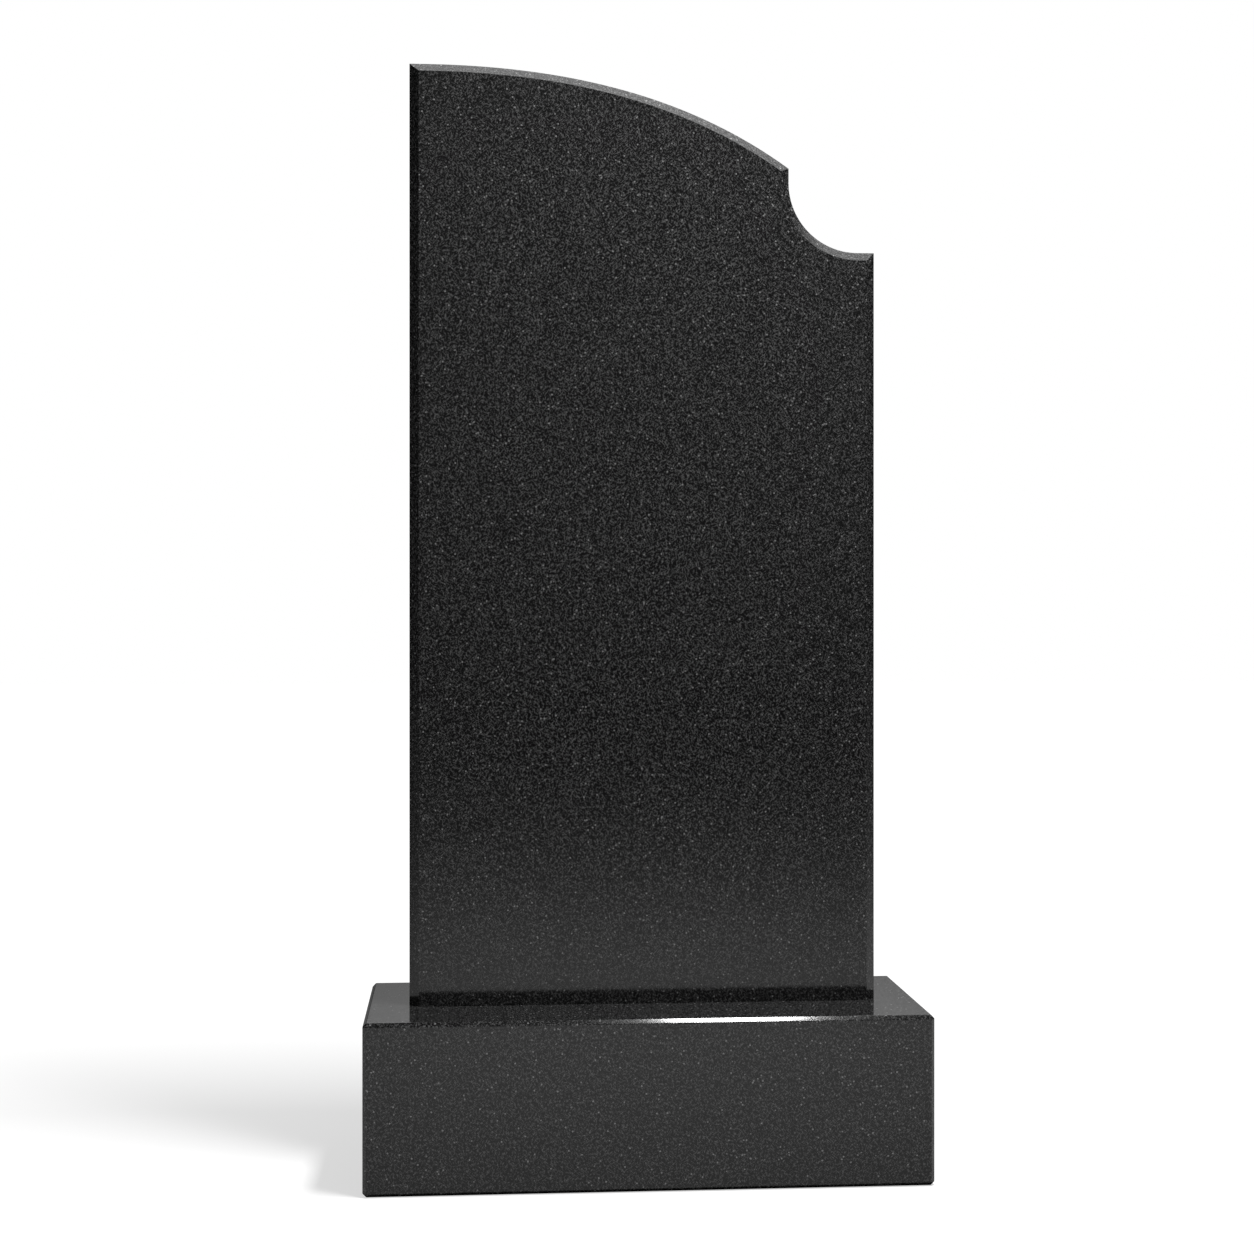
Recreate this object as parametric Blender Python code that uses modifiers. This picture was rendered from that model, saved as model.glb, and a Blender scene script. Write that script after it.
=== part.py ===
"""Headstone: an upright polished slab on a low rectangular plinth.

Run with: blender --background --python part.py
Metres, +Z up. The front faces -Y. The origin is the middle of the plinth's underside.
"""

from math import radians, sqrt, tan

import bmesh
import bpy

# Plinth: a plain block with every edge chamfered
PLINTH_WIDTH = 0.590
PLINTH_DEPTH = 0.200
PLINTH_HEIGHT = 0.177
PLINTH_CHAMFER = 0.004

# Slab: its overall block
SLAB_WIDTH = 0.500
SLAB_HEIGHT = 1.000
SLAB_THICKNESS = 0.050

# Slab: the top edge, from the left corner to the tip of the shoulder
CREST_RUN = 0.020
TOP_FALL = 0.105
TIP_SLOPE = radians(35.2)
TOP_FULLNESS = 0.676

# Slab: the notch in the right shoulder, from the tip down to the ledge
TIP_DROP = 0.0155
NOTCH_RADIUS = 0.0745
LEDGE_RUN = 0.0185

# Slab: the wide chamfer round the front and the small one round the back
FRONT_CHAMFER = 0.010
BACK_CHAMFER = 0.002

# The slab stands on the plinth with a hair of mortar
JOINT_GAP = 0.0003

# Smoothness of the curved edges
CURVE_STEPS = 28
SMOOTH_ANGLE = radians(20)
LOOSE_POINT_DISTANCE = 0.00001

# A quarter circle's handles, as a share of its radius
QUARTER_HANDLE = 4 / 3 * (sqrt(2) - 1)

# Polished black granite
GRANITE_COLOUR = (0.018, 0.018, 0.019, 1.0)
GRANITE_ROUGHNESS = 0.12
GRANITE_METALLIC = 0.0


def clear_scene():
    """Remove every object that the file holds."""
    for old in list(bpy.data.objects):
        bpy.data.objects.remove(old, do_unlink=True)


def new_collection(name):
    """Make a collection and link it to the scene."""
    collection = bpy.data.collections.new(name)
    bpy.context.scene.collection.children.link(collection)
    return collection


def granite(name):
    """A polished granite material."""
    material = bpy.data.materials.new(name)
    material.use_nodes = True
    shader = material.node_tree.nodes["Principled BSDF"]
    shader.inputs["Base Color"].default_value = GRANITE_COLOUR
    shader.inputs["Roughness"].default_value = GRANITE_ROUGHNESS
    shader.inputs["Metallic"].default_value = GRANITE_METALLIC
    material.diffuse_color = GRANITE_COLOUR
    return material


def add_plinth(collection):
    """The base block: a cube at its real size with every edge chamfered."""
    bpy.ops.mesh.primitive_cube_add(size=1.0)
    plinth = bpy.context.active_object
    plinth.name = "plinth"
    plinth.scale = (PLINTH_WIDTH, PLINTH_DEPTH, PLINTH_HEIGHT)
    bpy.ops.object.transform_apply(location=False, rotation=False, scale=True)
    plinth.location = (0, 0, PLINTH_HEIGHT / 2)

    bevel = plinth.modifiers.new("Chamfer", "BEVEL")
    bevel.width = PLINTH_CHAMFER
    bevel.segments = 1
    bevel.limit_method = "NONE"

    for owner in list(plinth.users_collection):
        owner.objects.unlink(plinth)
    collection.objects.link(plinth)
    plinth.data.materials.append(granite("plinth_granite"))
    return plinth


def slab_outline():
    """The slab's outline as curve points: each is its place and its two handles.

    The outline runs anticlockwise from the lower left corner, X from the middle of the slab and
    Y up from its base. A handle that is None makes a straight edge on that side.
    """
    left = -SLAB_WIDTH / 2
    right = SLAB_WIDTH / 2
    crest = left + CREST_RUN
    notch_end = right - LEDGE_RUN
    tip = notch_end - NOTCH_RADIUS
    tip_height = SLAB_HEIGHT - TOP_FALL
    notch_start = tip_height - TIP_DROP
    ledge = notch_start - NOTCH_RADIUS

    # The tangents of the top curve's two ends meet here, level with the crest
    meeting = tip - TOP_FALL / tan(TIP_SLOPE)
    crest_handle = (crest + TOP_FULLNESS * (meeting - crest), SLAB_HEIGHT)
    tip_handle = (tip + TOP_FULLNESS * (meeting - tip), tip_height + TOP_FULLNESS * TOP_FALL)

    notch_handle = QUARTER_HANDLE * NOTCH_RADIUS
    return [
        ((left, 0), None, None),
        ((right, 0), None, None),
        ((right, ledge), None, None),
        ((notch_end, ledge), None, (notch_end - notch_handle, ledge)),
        ((tip, notch_start), (tip, notch_start - notch_handle), None),
        ((tip, tip_height), None, tip_handle),
        ((crest, SLAB_HEIGHT), crest_handle, None),
        ((left, SLAB_HEIGHT), None, None),
    ]


def outline_curve(name, outline, thickness):
    """A filled flat curve with straight and curved edges, as thick as the slab."""
    curve = bpy.data.curves.new(name, "CURVE")
    curve.dimensions = "2D"
    curve.fill_mode = "BOTH"
    curve.extrude = thickness / 2
    curve.resolution_u = CURVE_STEPS
    spline = curve.splines.new("BEZIER")
    spline.bezier_points.add(len(outline) - 1)
    spline.use_cyclic_u = True
    for point, (place, before, after) in zip(spline.bezier_points, outline):
        point.co = (*place, 0)
        point.handle_left_type = "FREE" if before else "VECTOR"
        point.handle_right_type = "FREE" if after else "VECTOR"
        if before:
            point.handle_left = (*before, 0)
        if after:
            point.handle_right = (*after, 0)
    return curve


def curve_to_mesh(curve):
    """Turn a curve into a closed mesh and remove the curve."""
    holder = bpy.data.objects.new("outline", curve)
    bpy.context.scene.collection.objects.link(holder)
    evaluated = holder.evaluated_get(bpy.context.evaluated_depsgraph_get())
    mesh = bpy.data.meshes.new_from_object(evaluated)
    bpy.data.objects.remove(holder, do_unlink=True)
    bpy.data.curves.remove(curve)
    return mesh


def join_cap(shape, side):
    """Join a cap's triangles into one flat face. The side is +1 for the front, -1 for the back."""
    cap = [face for face in shape.faces if face.normal.z * side > 0.5]
    bmesh.ops.dissolve_faces(shape, faces=cap)


def chamfer_rim(shape, side, size):
    """Chamfer a cap's rim, but not its lowest edge, which stands on the plinth."""
    cap = next(face for face in shape.faces if face.normal.z * side > 0.5)
    lowest = min(vertex.co.y for vertex in cap.verts)
    rim = [
        edge
        for edge in cap.edges
        if max(vertex.co.y for vertex in edge.verts) > lowest + LOOSE_POINT_DISTANCE
    ]
    bmesh.ops.bevel(
        shape, geom=rim, offset=size, offset_type="OFFSET", segments=1, profile=0.5, affect="EDGES"
    )


def add_slab(collection):
    """The upright slab: its outline at its thickness, chamfered round the front and back."""
    mesh = curve_to_mesh(outline_curve("slab_outline", slab_outline(), SLAB_THICKNESS))
    mesh.name = "slab"
    shape = bmesh.new()
    shape.from_mesh(mesh)
    bmesh.ops.remove_doubles(shape, verts=shape.verts, dist=LOOSE_POINT_DISTANCE)
    for side, size in ((1, FRONT_CHAMFER), (-1, BACK_CHAMFER)):
        join_cap(shape, side)
        chamfer_rim(shape, side, size)
    shape.to_mesh(mesh)
    shape.free()
    mesh.shade_smooth()
    mesh.set_sharp_from_angle(angle=SMOOTH_ANGLE)

    slab = bpy.data.objects.new("slab", mesh)
    collection.objects.link(slab)
    slab.rotation_euler = (radians(90), 0, 0)
    slab.location = (0, 0, PLINTH_HEIGHT + JOINT_GAP)
    mesh.materials.append(granite("slab_granite"))
    return slab


def main():
    clear_scene()
    headstone = new_collection("Headstone")
    add_plinth(headstone)
    add_slab(headstone)


main()
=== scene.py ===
"""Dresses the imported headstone: a polished granite slab that stands on a polished granite plinth.

The file is laid out as an add-on. Sizes, colours and lights are properties, each piece and the
stage has its own operator, and a panel in the 3D view's sidebar lists them. Run as a script, it
makes everything in order. Metres, +Z up, the front faces -Y.
"""

from math import cos, radians, sin, tan

import bpy
import numpy as np
from bpy.props import FloatProperty, FloatVectorProperty, PointerProperty
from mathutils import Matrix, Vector


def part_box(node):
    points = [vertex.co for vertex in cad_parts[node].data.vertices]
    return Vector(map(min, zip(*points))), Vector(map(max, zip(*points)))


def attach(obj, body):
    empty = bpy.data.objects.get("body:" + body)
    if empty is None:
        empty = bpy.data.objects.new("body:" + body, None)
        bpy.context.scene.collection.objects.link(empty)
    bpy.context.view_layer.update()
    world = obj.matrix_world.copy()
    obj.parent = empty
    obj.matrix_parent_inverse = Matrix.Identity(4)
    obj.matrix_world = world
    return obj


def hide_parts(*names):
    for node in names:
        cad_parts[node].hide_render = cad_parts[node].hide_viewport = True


bl_info = {
    "name": "Granite Headstone",
    "version": (1, 0, 0),
    "blender": (4, 5, 0),
    "location": "View3D > Sidebar > Headstone",
    "description": "Makes a headstone's polished slab and plinth, and a studio to show them in",
    "category": "Object",
}

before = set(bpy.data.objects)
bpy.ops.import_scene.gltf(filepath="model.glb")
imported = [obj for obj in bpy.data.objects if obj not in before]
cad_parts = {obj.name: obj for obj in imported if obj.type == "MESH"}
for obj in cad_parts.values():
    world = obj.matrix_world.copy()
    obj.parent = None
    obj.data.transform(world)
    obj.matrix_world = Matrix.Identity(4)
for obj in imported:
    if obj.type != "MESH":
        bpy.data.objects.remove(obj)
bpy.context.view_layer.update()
SLAB_LOW, SLAB_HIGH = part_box("slab")
PLINTH_LOW, PLINTH_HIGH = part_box("plinth")

# How finely the curved edges are cut, and how finely the top curve's end is looked for
TOP_STATIONS = 64
NOTCH_STATIONS = 32
FINE_STATIONS = 2001

# The least angle of an edge, the steps of its easing, and how near two corners are when they merge
EDGE_ANGLE = radians(25)
EASING_STEPS = 3
SAME_PLACE = 0.000001

# The ground's mottle: how often its noise repeats in one grain size, and the values of the noise
# where the ground has its darker and its lighter colour
MOTTLE_SCALE = 0.9
MOTTLE_RANGE = (0.32, 0.68)

# The needles: how far their noise is stretched along them, into the stone and across them, in
# grain sizes. Then each set's lean and seed, and the values of the noise where a needle begins
# and where it is full
NEEDLE_STRETCH = (2.6, 1.0, 0.8)
DARK_NEEDLES = (
    (radians(20), 1.0, 0.56, 0.80),
    (radians(-65), 2.0, 0.56, 0.80),
)
GREY_NEEDLES = (
    (radians(40), 3.0, 0.57, 0.90),
    (radians(-40), 4.0, 0.57, 0.90),
    (radians(85), 5.0, 0.60, 0.90),
)

# The flecks: the turn of their pattern, a fleck's rim and core as shares of the spacing, and the
# values of a cell's random tone between which a fleck comes in
FLECK_TURN = (radians(33), radians(27), radians(21))
FLECK_EDGE = (0.22, 0.12)
FLECK_CHOICE = (0.58, 0.64)

# The polish on the dark and on the light parts of the ground, as shares of the roughness
POLISH_RANGE = (0.9, 1.2)

# How far the overhead light leans back from straight up, and the two broad lights: the way to
# each one's middle, and the cosines of the angles from there to its edge and to its core
OVERHEAD_LEAN = radians(35)
OVERHEAD_LIGHT = ((0.06, sin(OVERHEAD_LEAN), cos(OVERHEAD_LEAN)), 0.64, 0.95)
FRONT_LIGHT = ((0.15, -0.80, 0.58), 0.62, 1.0)

# The floor: its half width, the share of its painted light that is left against the plinth as
# painted shade, how far that painted shade and the painted contact shadow, a dark line where the
# two touch, reach, and how far from the key light's foot its painted glow makes it fully white to
# the camera
FLOOR_REACH = 12.0
PAINTED_SHADE_SHARE = 0.58
PAINTED_SHADE_REACH = 0.8
PAINTED_CONTACT_SHADOW_REACH = 0.008
PAINTED_GLOW_REACH = 2.7

# The camera's sensor, in millimetres
SENSOR_WIDTH = 36.0

# Where the Mix node keeps its two inputs and its output, for each kind of value
MIX_SOCKETS = {"FLOAT": (2, 3, 0), "RGBA": (6, 7, 2)}


class HEADSTONE_PG_slab(bpy.types.PropertyGroup):
    """The slab's outline and edges"""

    crest_run: FloatProperty(
        name="Crest run",
        description="Level stretch of the top, from the left corner",
        default=0.020,
        min=0.012,
        precision=4,
        unit="LENGTH",
    )
    top_fall: FloatProperty(
        name="Top fall",
        description="How far the top curve falls from the crest to the tip of the shoulder",
        default=0.105,
        min=0.01,
        precision=4,
        unit="LENGTH",
    )
    tip_slope: FloatProperty(
        name="Tip slope",
        description="How steeply the top curve falls where it ends at the tip",
        default=radians(35.2),
        min=radians(5),
        max=radians(80),
        unit="ROTATION",
    )
    top_fullness: FloatProperty(
        name="Top fullness",
        description="How closely the top curve follows the tangents of its two ends",
        default=0.676,
        min=0.1,
        max=1.0,
        precision=3,
        subtype="FACTOR",
    )
    tip_drop: FloatProperty(
        name="Tip drop",
        description="Upright stretch below the tip, down to the hollow of the notch",
        default=0.0155,
        min=0.008,
        precision=4,
        unit="LENGTH",
    )
    notch_radius: FloatProperty(
        name="Notch radius",
        description="Radius of the quarter-round hollow in the right shoulder",
        default=0.0745,
        min=0.01,
        precision=4,
        unit="LENGTH",
    )
    ledge_run: FloatProperty(
        name="Ledge run",
        description="Level stretch from the hollow to the right edge",
        default=0.0185,
        min=0.012,
        precision=4,
        unit="LENGTH",
    )
    front_chamfer: FloatProperty(
        name="Front chamfer",
        description="Chamfer round the front face, on all edges but the base",
        default=0.010,
        min=0.001,
        precision=4,
        unit="LENGTH",
    )
    back_chamfer: FloatProperty(
        name="Back chamfer",
        description="Chamfer round the back face, on all edges but the base",
        default=0.002,
        min=0.001,
        precision=4,
        unit="LENGTH",
    )


class HEADSTONE_PG_plinth(bpy.types.PropertyGroup):
    """The plinth's edges"""

    chamfer: FloatProperty(
        name="Chamfer",
        description="Chamfer on every edge of the block",
        default=0.004,
        min=0.001,
        precision=4,
        unit="LENGTH",
    )
    easing: FloatProperty(
        name="Easing",
        description="Width of the rounding that polishing leaves on each edge",
        default=0.0004,
        min=0.0001,
        precision=5,
        unit="LENGTH",
    )


class HEADSTONE_PG_granite(bpy.types.PropertyGroup):
    """The polished black granite"""

    ground: FloatVectorProperty(
        name="Ground",
        description="Darker colour of the mottled ground",
        default=(0.0015, 0.0015, 0.0016),
        min=0.0,
        max=1.0,
        subtype="COLOR",
    )
    grain: FloatVectorProperty(
        name="Grain",
        description="Lighter colour of the mottled ground",
        default=(0.0072, 0.0072, 0.0073),
        min=0.0,
        max=1.0,
        subtype="COLOR",
    )
    dark_needles: FloatVectorProperty(
        name="Dark needles",
        description="Colour of the short dark needles",
        default=(0.0015, 0.0015, 0.0016),
        min=0.0,
        max=1.0,
        subtype="COLOR",
    )
    grey_needles: FloatVectorProperty(
        name="Grey needles",
        description="Colour of the short grey needles",
        default=(0.1330, 0.1330, 0.1333),
        min=0.0,
        max=1.0,
        subtype="COLOR",
    )
    flecks: FloatVectorProperty(
        name="Flecks",
        description="Colour of the few bright flecks",
        default=(0.230, 0.230, 0.230),
        min=0.0,
        max=1.0,
        subtype="COLOR",
    )
    grain_size: FloatProperty(
        name="Grain size",
        description="Width of a needle together with the gap beside it",
        default=0.0013,
        min=0.0005,
        precision=4,
        unit="LENGTH",
    )
    fleck_spacing: FloatProperty(
        name="Fleck spacing",
        description="Distance from one place for a fleck to the next",
        default=0.0050,
        min=0.0005,
        precision=4,
        unit="LENGTH",
    )
    roughness: FloatProperty(
        name="Roughness",
        description="Roughness of the polish",
        default=0.10,
        min=0.0,
        max=1.0,
        subtype="FACTOR",
    )
    specular: FloatProperty(
        name="Specular",
        description="Specular level of the polish",
        default=0.37,
        min=0.0,
        max=1.0,
        subtype="FACTOR",
    )


class HEADSTONE_PG_stage(bpy.types.PropertyGroup):
    """The studio and its camera"""

    camera_place: FloatVectorProperty(
        name="Camera place",
        description="Where the camera stands",
        default=(-0.1871, -1.8891, 0.5988),
        subtype="TRANSLATION",
        precision=4,
        unit="LENGTH",
    )
    camera_turn: FloatProperty(
        name="Camera turn",
        description="How far the level camera turns to the right of straight ahead",
        default=0.0659,
        precision=4,
        unit="ROTATION",
    )
    focal_length: FloatProperty(
        name="Focal length",
        description="Focal length in millimetres, on a sensor 36 mm wide",
        default=50.39,
        min=10.0,
    )
    camera_shift: FloatVectorProperty(
        name="Camera shift",
        description="Sideways and upward shift of the view, as shares of its width",
        size=2,
        default=(0.0338, -0.0153),
        precision=4,
    )
    key_place: FloatVectorProperty(
        name="Key light place",
        description="Where the small key softbox hangs",
        default=(0.386, -0.365, 2.15),
        subtype="TRANSLATION",
        precision=3,
        unit="LENGTH",
    )
    key_size: FloatVectorProperty(
        name="Key light size",
        description="Width and depth of the key softbox",
        size=2,
        default=(0.28, 0.44),
        min=0.01,
        precision=3,
        unit="LENGTH",
    )
    key_power: FloatProperty(
        name="Key light power",
        description="Power of the key softbox in watts",
        default=45.0,
        min=0.0,
    )
    sky_strength: FloatProperty(
        name="Overhead strength",
        description="Radiance of the broad soft light above and behind the stone",
        default=1.72,
        min=0.0,
    )
    fill_strength: FloatProperty(
        name="Fill strength",
        description="Radiance of the broad dim light in front",
        default=0.24,
        min=0.0,
    )
    studio_strength: FloatProperty(
        name="Studio strength",
        description="Radiance of the dark side of the studio",
        default=0.03,
        min=0.0,
    )
    # The pool of light that the stone sees on the floor is painted: the floor glows with it, and no
    # lamp is there
    painted_pool_place: FloatVectorProperty(
        name="Pool place",
        description="Middle of the lit floor, as the stone sees it",
        size=2,
        default=(0.10, -0.365),
        subtype="TRANSLATION",
        precision=3,
        unit="LENGTH",
    )
    painted_pool_strength: FloatProperty(
        name="Pool strength",
        description="Radiance of the lit floor at its middle, as the stone sees it",
        default=1.18,
        min=0.0,
    )
    painted_pool_reach: FloatProperty(
        name="Pool reach",
        description="Distance at which the lit floor's radiance is a quarter of its strength",
        default=1.95,
        min=0.1,
        unit="LENGTH",
    )
    # The far floor's glow is painted light as well
    painted_far_floor_strength: FloatProperty(
        name="Far floor strength",
        description="Radiance of the far floor, as the stone sees it",
        default=0.07,
        min=0.0,
    )
    shadow_depth: FloatProperty(
        name="Shadow depth",
        description="How strongly the lights and shadows show on the floor",
        default=0.55,
        min=0.0,
        max=1.0,
        subtype="FACTOR",
    )
    # How light the floor stays in the key light's shadow is set by a painted glow
    painted_glow_near_key: FloatProperty(
        name="Shadow tone",
        description="How light the floor stays in the key light's shadow",
        default=0.56,
        min=0.0,
        max=1.0,
        subtype="FACTOR",
    )


class HEADSTONE_PG_settings(bpy.types.PropertyGroup):
    """Everything that a user may change"""

    slab: PointerProperty(type=HEADSTONE_PG_slab)
    plinth: PointerProperty(type=HEADSTONE_PG_plinth)
    granite: PointerProperty(type=HEADSTONE_PG_granite)
    stage: PointerProperty(type=HEADSTONE_PG_stage)


def cubic(controls, share):
    """A cubic curve from four controls, and its direction, at each share of the way from 0 to 1.

    The place is the sum of the controls weighted by Bernstein's four polynomials, and the
    direction is the sum of the controls' differences weighted by the three of one degree less.
    """
    near, far = 1 - share, share
    weights = np.stack([near**3, 3 * near**2 * far, 3 * near * far**2, far**3], axis=1)
    slopes = np.stack([near**2, 2 * near * far, far**2], axis=1)
    return weights @ controls, slopes @ np.diff(controls, axis=0)


def top_edge(sizes, crest, top, tip, inset):
    """The falling top curve, moved inwards by the inset and cut off at the tip's mitre.

    A cubic leaves the crest level and reaches the tip at the tip's slope. Each place moves
    against its outward normal by the inset, and the curve ends where it meets the upright below
    the tip, moved in by the same inset.
    """
    meeting = tip - sizes.top_fall / tan(sizes.tip_slope)
    tip_height = top - sizes.top_fall
    crest_handle = crest + sizes.top_fullness * (meeting - crest)
    tip_handle = tip + sizes.top_fullness * (meeting - tip)
    handle_height = tip_height + sizes.top_fullness * sizes.top_fall
    controls = np.array(
        [(crest, top), (crest_handle, top), (tip_handle, handle_height), (tip, tip_height)]
    )

    def moved_in(share):
        place, direction = cubic(controls, share)
        outward = direction[:, ::-1] * (-1, 1)
        outward /= np.linalg.norm(outward, axis=1, keepdims=True)
        return place - inset * outward

    share = np.linspace(0, 1, FINE_STATIONS)
    last = np.interp(tip - inset, moved_in(share)[:, 0], share)
    return moved_in(np.linspace(0, last, TOP_STATIONS))


def slab_ring(sizes, inset):
    """The slab's outline moved inwards by an inset, from the base's left end to its right end.

    The straight edges move by the inset, the corners between them are mitred, the hollow of the
    notch keeps its centre and its radius grows by the inset, and the base stays where it is.
    """
    left, right = SLAB_LOW.x, SLAB_HIGH.x
    base, top = SLAB_LOW.z, SLAB_HIGH.z
    notch_end = right - sizes.ledge_run
    tip = notch_end - sizes.notch_radius
    notch_start = top - sizes.top_fall - sizes.tip_drop
    ledge = notch_start - sizes.notch_radius

    turn = np.linspace(np.pi, 1.5 * np.pi, NOTCH_STATIONS)
    hollow = (sizes.notch_radius + inset) * np.stack([np.cos(turn), np.sin(turn)], axis=1)
    return np.concatenate(
        [
            [(left + inset, base), (left + inset, top - inset)],
            top_edge(sizes, left + sizes.crest_run, top, tip, inset),
            hollow + (notch_end, notch_start),
            [(right - inset, ledge - inset), (right - inset, base)],
        ]
    )


def slab_surface(sizes):
    """The slab as a grid: its outline moved in and back, ring by ring, from front to back.

    Each row is the outline at one depth: inset by the chamfer at the front face, full behind
    the chamfer, full again before the back chamfer, and inset by that at the back face.
    """
    front, back = SLAB_LOW.y, SLAB_HIGH.y
    profile = [
        (sizes.front_chamfer, front),
        (0.0, front + sizes.front_chamfer),
        (0.0, back - sizes.back_chamfer),
        (sizes.back_chamfer, back),
    ]
    rows = []
    for inset, depth in profile:
        ring = slab_ring(sizes, inset)
        rows.append(np.stack([ring[:, 0], np.full(len(ring), depth), ring[:, 1]], axis=1))
    return np.array(rows)


def plinth_surface(chamfer):
    """The plinth as a grid of rings from its underside to its top.

    Each ring is a rectangle inset by the chamfer at the underside and the top and full between
    them. Its corners are cut at the chamfer's distance along each side, so at the top and the
    underside the two ends of a cut fall together.
    """
    reach = (PLINTH_HIGH - PLINTH_LOW) / 2
    middle = (PLINTH_HIGH + PLINTH_LOW) / 2
    low, high = PLINTH_LOW.z, PLINTH_HIGH.z
    signs = np.array([(1, -1), (1, 1), (-1, 1), (-1, -1)])
    rows = []
    profile = [(chamfer, low), (0.0, low + chamfer), (0.0, high - chamfer), (chamfer, high)]
    for inset, height in profile:
        wide = signs * (reach.x - inset, reach.y - chamfer)
        deep = signs * (reach.x - chamfer, reach.y - inset)
        pairs = np.stack([wide, deep], axis=1)
        pairs[::2] = pairs[::2, ::-1]
        ring = pairs.reshape(-1, 2) + (middle.x, middle.y)
        rows.append(np.column_stack([ring, np.full(len(ring), height)]))
    return np.array(rows)


def grid_faces(rows, columns, closed):
    """Four-cornered faces between each two rows and each two columns of a grid."""
    row = np.arange(rows - 1)[:, None]
    column = np.arange(columns if closed else columns - 1)[None, :]
    following = (column + 1) % columns
    corners = [
        row * columns + column,
        row * columns + following,
        (row + 1) * columns + following,
        (row + 1) * columns + column,
    ]
    return np.stack(np.broadcast_arrays(*corners), axis=-1).reshape(-1, 4).tolist()


def solid_piece(name, grid, caps, closed, material):
    """A closed piece from a grid and its caps, smooth but for its edges."""
    rows, columns, _ = grid.shape
    mesh = bpy.data.meshes.new(name)
    mesh.from_pydata(grid.reshape(-1, 3), [], grid_faces(rows, columns, closed) + caps)
    mesh.validate()
    mesh.materials.append(material)
    mesh.shade_smooth()
    mesh.set_sharp_from_angle(angle=EDGE_ANGLE)
    piece = bpy.data.objects.new(name, mesh)
    bpy.context.scene.collection.objects.link(piece)
    return piece


def ease_edges(piece, width):
    """Merge a piece's doubled corners and round its edges as polishing does."""
    weld = piece.modifiers.new("Merged corners", "WELD")
    weld.merge_threshold = SAME_PLACE
    bevel = piece.modifiers.new("Eased edges", "BEVEL")
    bevel.width = width
    bevel.segments = EASING_STEPS
    bevel.limit_method = "ANGLE"
    bevel.angle_limit = EDGE_ANGLE
    normals = piece.modifiers.new("Flat faces", "WEIGHTED_NORMAL")
    normals.mode = "FACE_AREA"
    normals.weight = 100


def new_node(tree, kind, place, **settings):
    """A node of one kind at a place in its tree, with its settings."""
    node = tree.nodes.new(kind)
    node.location = place
    for name, value in settings.items():
        setattr(node, name, value)
    return node


def fill(node, **values):
    """Set a node's inputs by name; an underscore stands for a space."""
    for name, value in values.items():
        node.inputs[name.replace("_", " ")].default_value = value


def connect(tree, socket, value):
    """Give a socket another node's output, a plain number or vector, or a plain colour."""
    if isinstance(value, bpy.types.NodeSocket):
        tree.links.new(value, socket)
    elif socket.type == "RGBA":
        socket.default_value = (*value, 1.0)
    else:
        socket.default_value = value


def calculate(tree, place, operation, *terms):
    """The outcome of one step of arithmetic on numbers or other nodes' outputs."""
    node = new_node(tree, "ShaderNodeMath", place, operation=operation)
    for socket, term in zip(node.inputs, terms):
        connect(tree, socket, term)
    return node.outputs["Value"]


def calculate_vector(tree, place, operation, *terms):
    """The outputs, Value and Vector, of one step of arithmetic on vectors."""
    node = new_node(tree, "ShaderNodeVectorMath", place, operation=operation)
    for socket, term in zip(node.inputs, terms):
        connect(tree, socket, term)
    return node.outputs


def ramp(tree, place, value, start, end, low=0.0, high=1.0, kind="LINEAR"):
    """A number that goes from low to high as a value goes from start to end, and stays there."""
    node = new_node(tree, "ShaderNodeMapRange", place, interpolation_type=kind)
    fill(node, From_Min=start, From_Max=end, To_Min=low, To_Max=high)
    connect(tree, node.inputs["Value"], value)
    return node.outputs["Result"]


def mix(tree, place, kind, share, first, second):
    """A number or a colour between two others, each a plain value or another node's output."""
    node = new_node(tree, "ShaderNodeMix", place, data_type=kind)
    first_input, second_input, output = MIX_SOCKETS[kind]
    connect(tree, node.inputs[0], share)
    connect(tree, node.inputs[first_input], first)
    connect(tree, node.inputs[second_input], second)
    return node.outputs[output]


def crystal_needles(tree, vector, place, size, needles):
    """Short straight needles that all lean one way.

    Turned by an angle about Y and stretched along that way, a plain noise becomes long grains.
    The share of a needle rises from 0 to 1 between a low and a high value of the noise.
    """
    column, row = place
    turn, seed, low, high = needles
    lean = new_node(tree, "ShaderNodeMapping", (column, row), vector_type="TEXTURE")
    fill(lean, Rotation=(0, turn, 0), Scale=[size * stretch for stretch in NEEDLE_STRETCH])
    noise = new_node(tree, "ShaderNodeTexNoise", (column + 200, row), noise_dimensions="4D")
    fill(noise, W=seed, Scale=1.0, Detail=0.0)
    connect(tree, lean.inputs["Vector"], vector)
    connect(tree, noise.inputs["Vector"], lean.outputs["Vector"])
    return ramp(tree, (column + 400, row), noise.outputs["Fac"], low, high)


def bright_flecks(tree, vector, place, spacing):
    """Small bright flecks: the cores of about a third of the cells of a cell pattern.

    The pattern is turned, so that no face of the stone lies along a layer of cells.
    """
    column, row = place
    turned = new_node(tree, "ShaderNodeMapping", (column - 200, row))
    fill(turned, Rotation=FLECK_TURN)
    cells = new_node(tree, "ShaderNodeTexVoronoi", (column, row))
    fill(cells, Scale=1.0 / spacing)
    connect(tree, turned.inputs["Vector"], vector)
    connect(tree, cells.inputs["Vector"], turned.outputs["Vector"])
    core = ramp(tree, (column + 200, row), cells.outputs["Distance"], *FLECK_EDGE)
    chosen = ramp(tree, (column + 200, row - 250), cells.outputs["Color"], *FLECK_CHOICE)
    return calculate(tree, (column + 400, row), "MULTIPLY", core, chosen)


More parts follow.
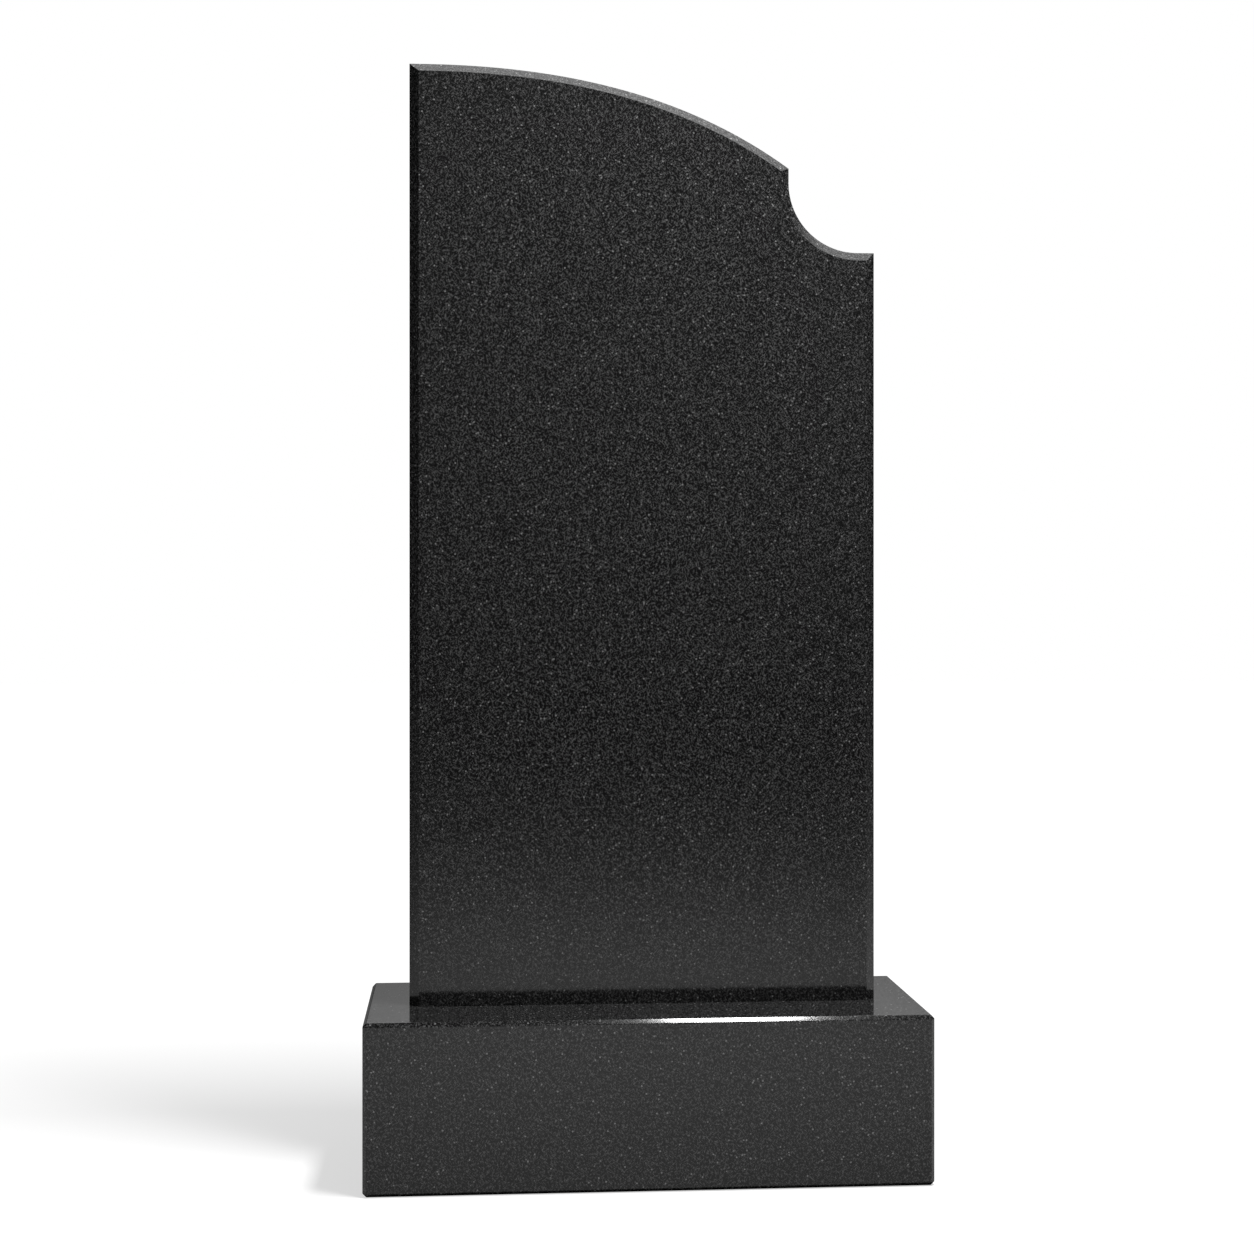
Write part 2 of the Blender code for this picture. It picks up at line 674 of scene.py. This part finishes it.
def polished_granite(settings):
    """Black granite under a polish: a mottled ground with short needles and bright flecks.

    A fine noise mottles the ground between its two colours. Dark needles and then grey needles
    are laid over it, each set leaning its own way, and the flecks come last.
    """
    name = "polished_granite"
    if name in bpy.data.materials:
        return bpy.data.materials[name]
    material = bpy.data.materials.new(name)
    material.use_nodes = True
    tree = material.node_tree
    shader = tree.nodes["Principled BSDF"]
    shader.inputs["Specular IOR Level"].default_value = settings.specular
    place = new_node(tree, "ShaderNodeTexCoord", (-1800, 0)).outputs["Object"]

    mottle = new_node(tree, "ShaderNodeTexNoise", (-900, 500))
    fill(mottle, Scale=MOTTLE_SCALE / settings.grain_size, Detail=2.0, Roughness=0.7)
    connect(tree, mottle.inputs["Vector"], place)
    tone = ramp(tree, (-700, 500), mottle.outputs["Fac"], *MOTTLE_RANGE)
    stone = mix(tree, (-500, 300), "RGBA", tone, settings.ground, settings.grain)

    layers = [(settings.dark_needles, needles) for needles in DARK_NEEDLES]
    layers += [(settings.grey_needles, needles) for needles in GREY_NEEDLES]
    for step, (colour, needles) in enumerate(layers):
        spot = (-1500, 200 - 300 * step)
        share = crystal_needles(tree, place, spot, settings.grain_size, needles)
        stone = mix(tree, (-400 + 200 * step, 100), "RGBA", share, stone, colour)
    flecks = bright_flecks(tree, place, (-1100, -1400), settings.fleck_spacing)
    stone = mix(tree, (700, 0), "RGBA", flecks, stone, settings.flecks)
    connect(tree, shader.inputs["Base Color"], stone)

    dark, light = (settings.roughness * share for share in POLISH_RANGE)
    polish = ramp(tree, (100, -300), tone, 0.0, 1.0, dark, light)
    connect(tree, shader.inputs["Roughness"], polish)
    return material


def broad_light(tree, direction, row, light, low, high):
    """A broad soft light at one side of the world, from its low strength to its high one.

    Its strength is a smooth step of the cosine between a direction and the light's middle.
    """
    middle, edge, core = light
    middle = Vector(middle).normalized()
    cosine = calculate_vector(tree, (-900, row), "DOT_PRODUCT", direction, middle)["Value"]
    return ramp(tree, (-700, row), cosine, edge, core, low, high, "SMOOTHSTEP")


def studio_world(settings):
    """A world that is white to the camera and otherwise a dark studio with two broad lights.

    A dim one stands in front. A strong one hangs overhead, leans back and shows in the polish
    alone.
    """
    world = bpy.data.worlds.new("studio")
    world.use_nodes = True
    world.cycles.sampling_method = "NONE"
    tree = world.node_tree
    background = tree.nodes["Background"]
    background.inputs["Color"].default_value = (1, 1, 1, 1)
    direction = new_node(tree, "ShaderNodeTexCoord", (-1100, 0)).outputs["Generated"]
    ray = new_node(tree, "ShaderNodeLightPath", (-500, 300)).outputs

    studio = broad_light(
        tree, direction, -300, FRONT_LIGHT, settings.studio_strength, settings.fill_strength
    )
    overhead = broad_light(tree, direction, 0, OVERHEAD_LIGHT, 0.0, settings.sky_strength)
    both = calculate(tree, (-500, 0), "ADD", overhead, studio)
    cast = mix(tree, (-300, 0), "FLOAT", ray["Is Diffuse Ray"], both, studio)
    seen = mix(tree, (-100, 100), "FLOAT", ray["Is Camera Ray"], cast, 1.0)
    connect(tree, background.inputs["Strength"], seen)
    return world


def pale_floor(settings):
    """A pale floor with a painted pool of light in front of the stone.

    What the stone sees of the floor is painted light: it glows as a floor under a lamp would be
    lit, a strength divided by the square of 1 + (distance from the pool's middle / reach)². It has
    painted shade beside the plinth and a painted contact shadow where the two touch. To the camera
    the floor is a pale sheet that takes the key light's shadows, with a painted glow of its own
    that grows with the distance from the key light's foot.
    """
    material = bpy.data.materials.new("pale_floor")
    material.use_nodes = True
    tree = material.node_tree
    shader = tree.nodes["Principled BSDF"]
    shader.inputs["Roughness"].default_value = 1.0
    shader.inputs["Specular IOR Level"].default_value = 0.0
    shader.inputs["Emission Color"].default_value = (1, 1, 1, 1)
    place = new_node(tree, "ShaderNodeTexCoord", (-1500, 0)).outputs["Object"]
    camera_ray = new_node(tree, "ShaderNodeLightPath", (-500, 600)).outputs["Is Camera Ray"]

    # A painted pool of light: the floor glows brightest at the pool's middle, for every ray but the
    # camera's
    middle = (*settings.painted_pool_place, 0)
    away = calculate_vector(tree, (-1300, 0), "DISTANCE", place, middle)["Value"]
    share = calculate(tree, (-1100, 0), "DIVIDE", away, settings.painted_pool_reach)
    growing = calculate(tree, (-900, 0), "MULTIPLY_ADD", share, share, 1.0)
    falling = calculate(tree, (-700, 0), "POWER", growing, -2.0)
    strengths = (settings.painted_pool_strength, settings.painted_far_floor_strength)
    painted_pool = calculate(tree, (-500, 0), "MULTIPLY_ADD", falling, *strengths)

    # Painted shade beside the plinth, and a painted contact shadow where the two touch
    corner = (PLINTH_HIGH.x, PLINTH_HIGH.y, 0)
    folded = calculate_vector(tree, (-1300, 300), "ABSOLUTE", place)["Vector"]
    beyond = calculate_vector(tree, (-1100, 300), "SUBTRACT", folded, corner)["Vector"]
    sides = new_node(tree, "ShaderNodeSeparateXYZ", (-900, 300))
    connect(tree, sides.inputs["Vector"], beyond)
    gap = calculate(tree, (-700, 300), "MAXIMUM", sides.outputs["X"], sides.outputs["Y"])
    painted_shade_beside_plinth = ramp(tree, (-500, 400), gap, 0.0, PAINTED_SHADE_REACH, PAINTED_SHADE_SHARE, 1.0)
    painted_contact_shadow = ramp(tree, (-500, 200), gap, 0.0, PAINTED_CONTACT_SHADOW_REACH, kind="SMOOTHSTEP")
    painted_shade = calculate(tree, (-300, 300), "MULTIPLY", painted_shade_beside_plinth, painted_contact_shadow)
    painted_light_stone_sees = calculate(tree, (-300, 0), "MULTIPLY", painted_pool, painted_shade)

    # A painted glow that the camera sees, growing with the distance from the key light's foot until
    # the floor is white
    key_x, key_y, _ = settings.key_place
    foot = (key_x, key_y, 0)
    far = calculate_vector(tree, (-1300, -300), "DISTANCE", place, foot)["Value"]
    painted_glow = ramp(tree, (-700, -300), far, 0.0, PAINTED_GLOW_REACH, settings.painted_glow_near_key, 1.0, "SMOOTHSTEP")
    seen = mix(tree, (-100, -100), "FLOAT", camera_ray, painted_light_stone_sees, painted_glow)
    connect(tree, shader.inputs["Emission Strength"], seen)
    sheet = calculate(tree, (-100, 300), "MULTIPLY", camera_ray, settings.shadow_depth)
    connect(tree, shader.inputs["Base Color"], sheet)
    return material


def add_floor(settings):
    """A large level floor under the plinth."""
    low, high = -FLOOR_REACH, FLOOR_REACH
    mesh = bpy.data.meshes.new("floor")
    corners = [(low, low, 0), (high, low, 0), (high, high, 0), (low, high, 0)]
    mesh.from_pydata(corners, [], [(0, 1, 2, 3)])
    mesh.materials.append(pale_floor(settings))
    floor = bpy.data.objects.new("floor", mesh)
    bpy.context.scene.collection.objects.link(floor)


def add_key_light(settings):
    """A small bright softbox above, to the right and in front, facing straight down."""
    light = bpy.data.lights.new("key_light", "AREA")
    light.shape = "RECTANGLE"
    light.size, light.size_y = settings.key_size
    light.energy = settings.key_power
    key = bpy.data.objects.new("key_light", light)
    bpy.context.scene.collection.objects.link(key)
    key.location = settings.key_place
    key.visible_camera = False


def add_camera(settings):
    """A level camera with a small shift, where the photograph was taken from."""
    camera_data = bpy.data.cameras.new("camera")
    camera_data.sensor_width = SENSOR_WIDTH
    camera_data.lens = settings.focal_length
    camera_data.shift_x, camera_data.shift_y = settings.camera_shift
    camera = bpy.data.objects.new("camera", camera_data)
    bpy.context.scene.collection.objects.link(camera)
    camera.location = settings.camera_place
    camera.rotation_euler = (radians(90), 0, -settings.camera_turn)
    bpy.context.scene.camera = camera


class HEADSTONE_OT_slab(bpy.types.Operator):
    """Make the upright slab of polished granite"""

    bl_idname = "headstone.make_slab"
    bl_label = "Make the slab"

    def execute(self, context):
        settings = context.scene.headstone
        grid = slab_surface(settings.slab)
        rows, columns, _ = grid.shape
        index = np.arange(rows * columns).reshape(rows, columns)
        front_cap = index[0, ::-1].tolist()
        back_cap = index[-1].tolist()
        base = index[:, 0].tolist() + index[::-1, -1].tolist()
        slab = solid_piece(
            "granite_slab",
            grid,
            caps=[front_cap, back_cap, base],
            closed=False,
            material=polished_granite(settings.granite),
        )
        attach(slab, "root")
        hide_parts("slab")
        return {"FINISHED"}


class HEADSTONE_OT_plinth(bpy.types.Operator):
    """Make the plinth of polished granite"""

    bl_idname = "headstone.make_plinth"
    bl_label = "Make the plinth"

    def execute(self, context):
        settings = context.scene.headstone
        grid = plinth_surface(settings.plinth.chamfer)
        rows, columns, _ = grid.shape
        index = np.arange(rows * columns).reshape(rows, columns)
        plinth = solid_piece(
            "granite_plinth",
            grid,
            caps=[index[0, ::-1].tolist(), index[-1].tolist()],
            closed=True,
            material=polished_granite(settings.granite),
        )
        ease_edges(plinth, settings.plinth.easing)
        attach(plinth, "root")
        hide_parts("plinth")
        return {"FINISHED"}


class HEADSTONE_OT_stage(bpy.types.Operator):
    """Make the floor, the lights and the camera"""

    bl_idname = "headstone.make_stage"
    bl_label = "Make the stage"

    def execute(self, context):
        settings = context.scene.headstone.stage
        context.scene.world = studio_world(settings)
        context.scene.view_settings.view_transform = "Standard"
        add_floor(settings)
        add_key_light(settings)
        add_camera(settings)
        return {"FINISHED"}


class HEADSTONE_PT_panel(bpy.types.Panel):
    """Lists the pieces, with their sizes and colours"""

    bl_idname = "HEADSTONE_PT_panel"
    bl_label = "Headstone"
    bl_space_type = "VIEW_3D"
    bl_region_type = "UI"
    bl_category = "Headstone"

    def draw(self, context):
        settings = context.scene.headstone
        groups = [
            (HEADSTONE_OT_slab, (settings.slab, settings.granite)),
            (HEADSTONE_OT_plinth, (settings.plinth,)),
            (HEADSTONE_OT_stage, (settings.stage,)),
        ]
        for operator, shown in groups:
            box = self.layout.box()
            box.operator(operator.bl_idname)
            for group in shown:
                for name in group.bl_rna.properties.keys():
                    if name not in {"rna_type", "name"}:
                        box.prop(group, name)


CLASSES = (
    HEADSTONE_PG_slab,
    HEADSTONE_PG_plinth,
    HEADSTONE_PG_granite,
    HEADSTONE_PG_stage,
    HEADSTONE_PG_settings,
    HEADSTONE_OT_slab,
    HEADSTONE_OT_plinth,
    HEADSTONE_OT_stage,
    HEADSTONE_PT_panel,
)


def register():
    for cls in CLASSES:
        bpy.utils.register_class(cls)
    bpy.types.Scene.headstone = PointerProperty(type=HEADSTONE_PG_settings)


def unregister():
    del bpy.types.Scene.headstone
    for cls in reversed(CLASSES):
        bpy.utils.unregister_class(cls)


def main():
    register()
    bpy.ops.headstone.make_slab()
    bpy.ops.headstone.make_plinth()
    bpy.ops.headstone.make_stage()


if __name__ == "__main__":
    main()
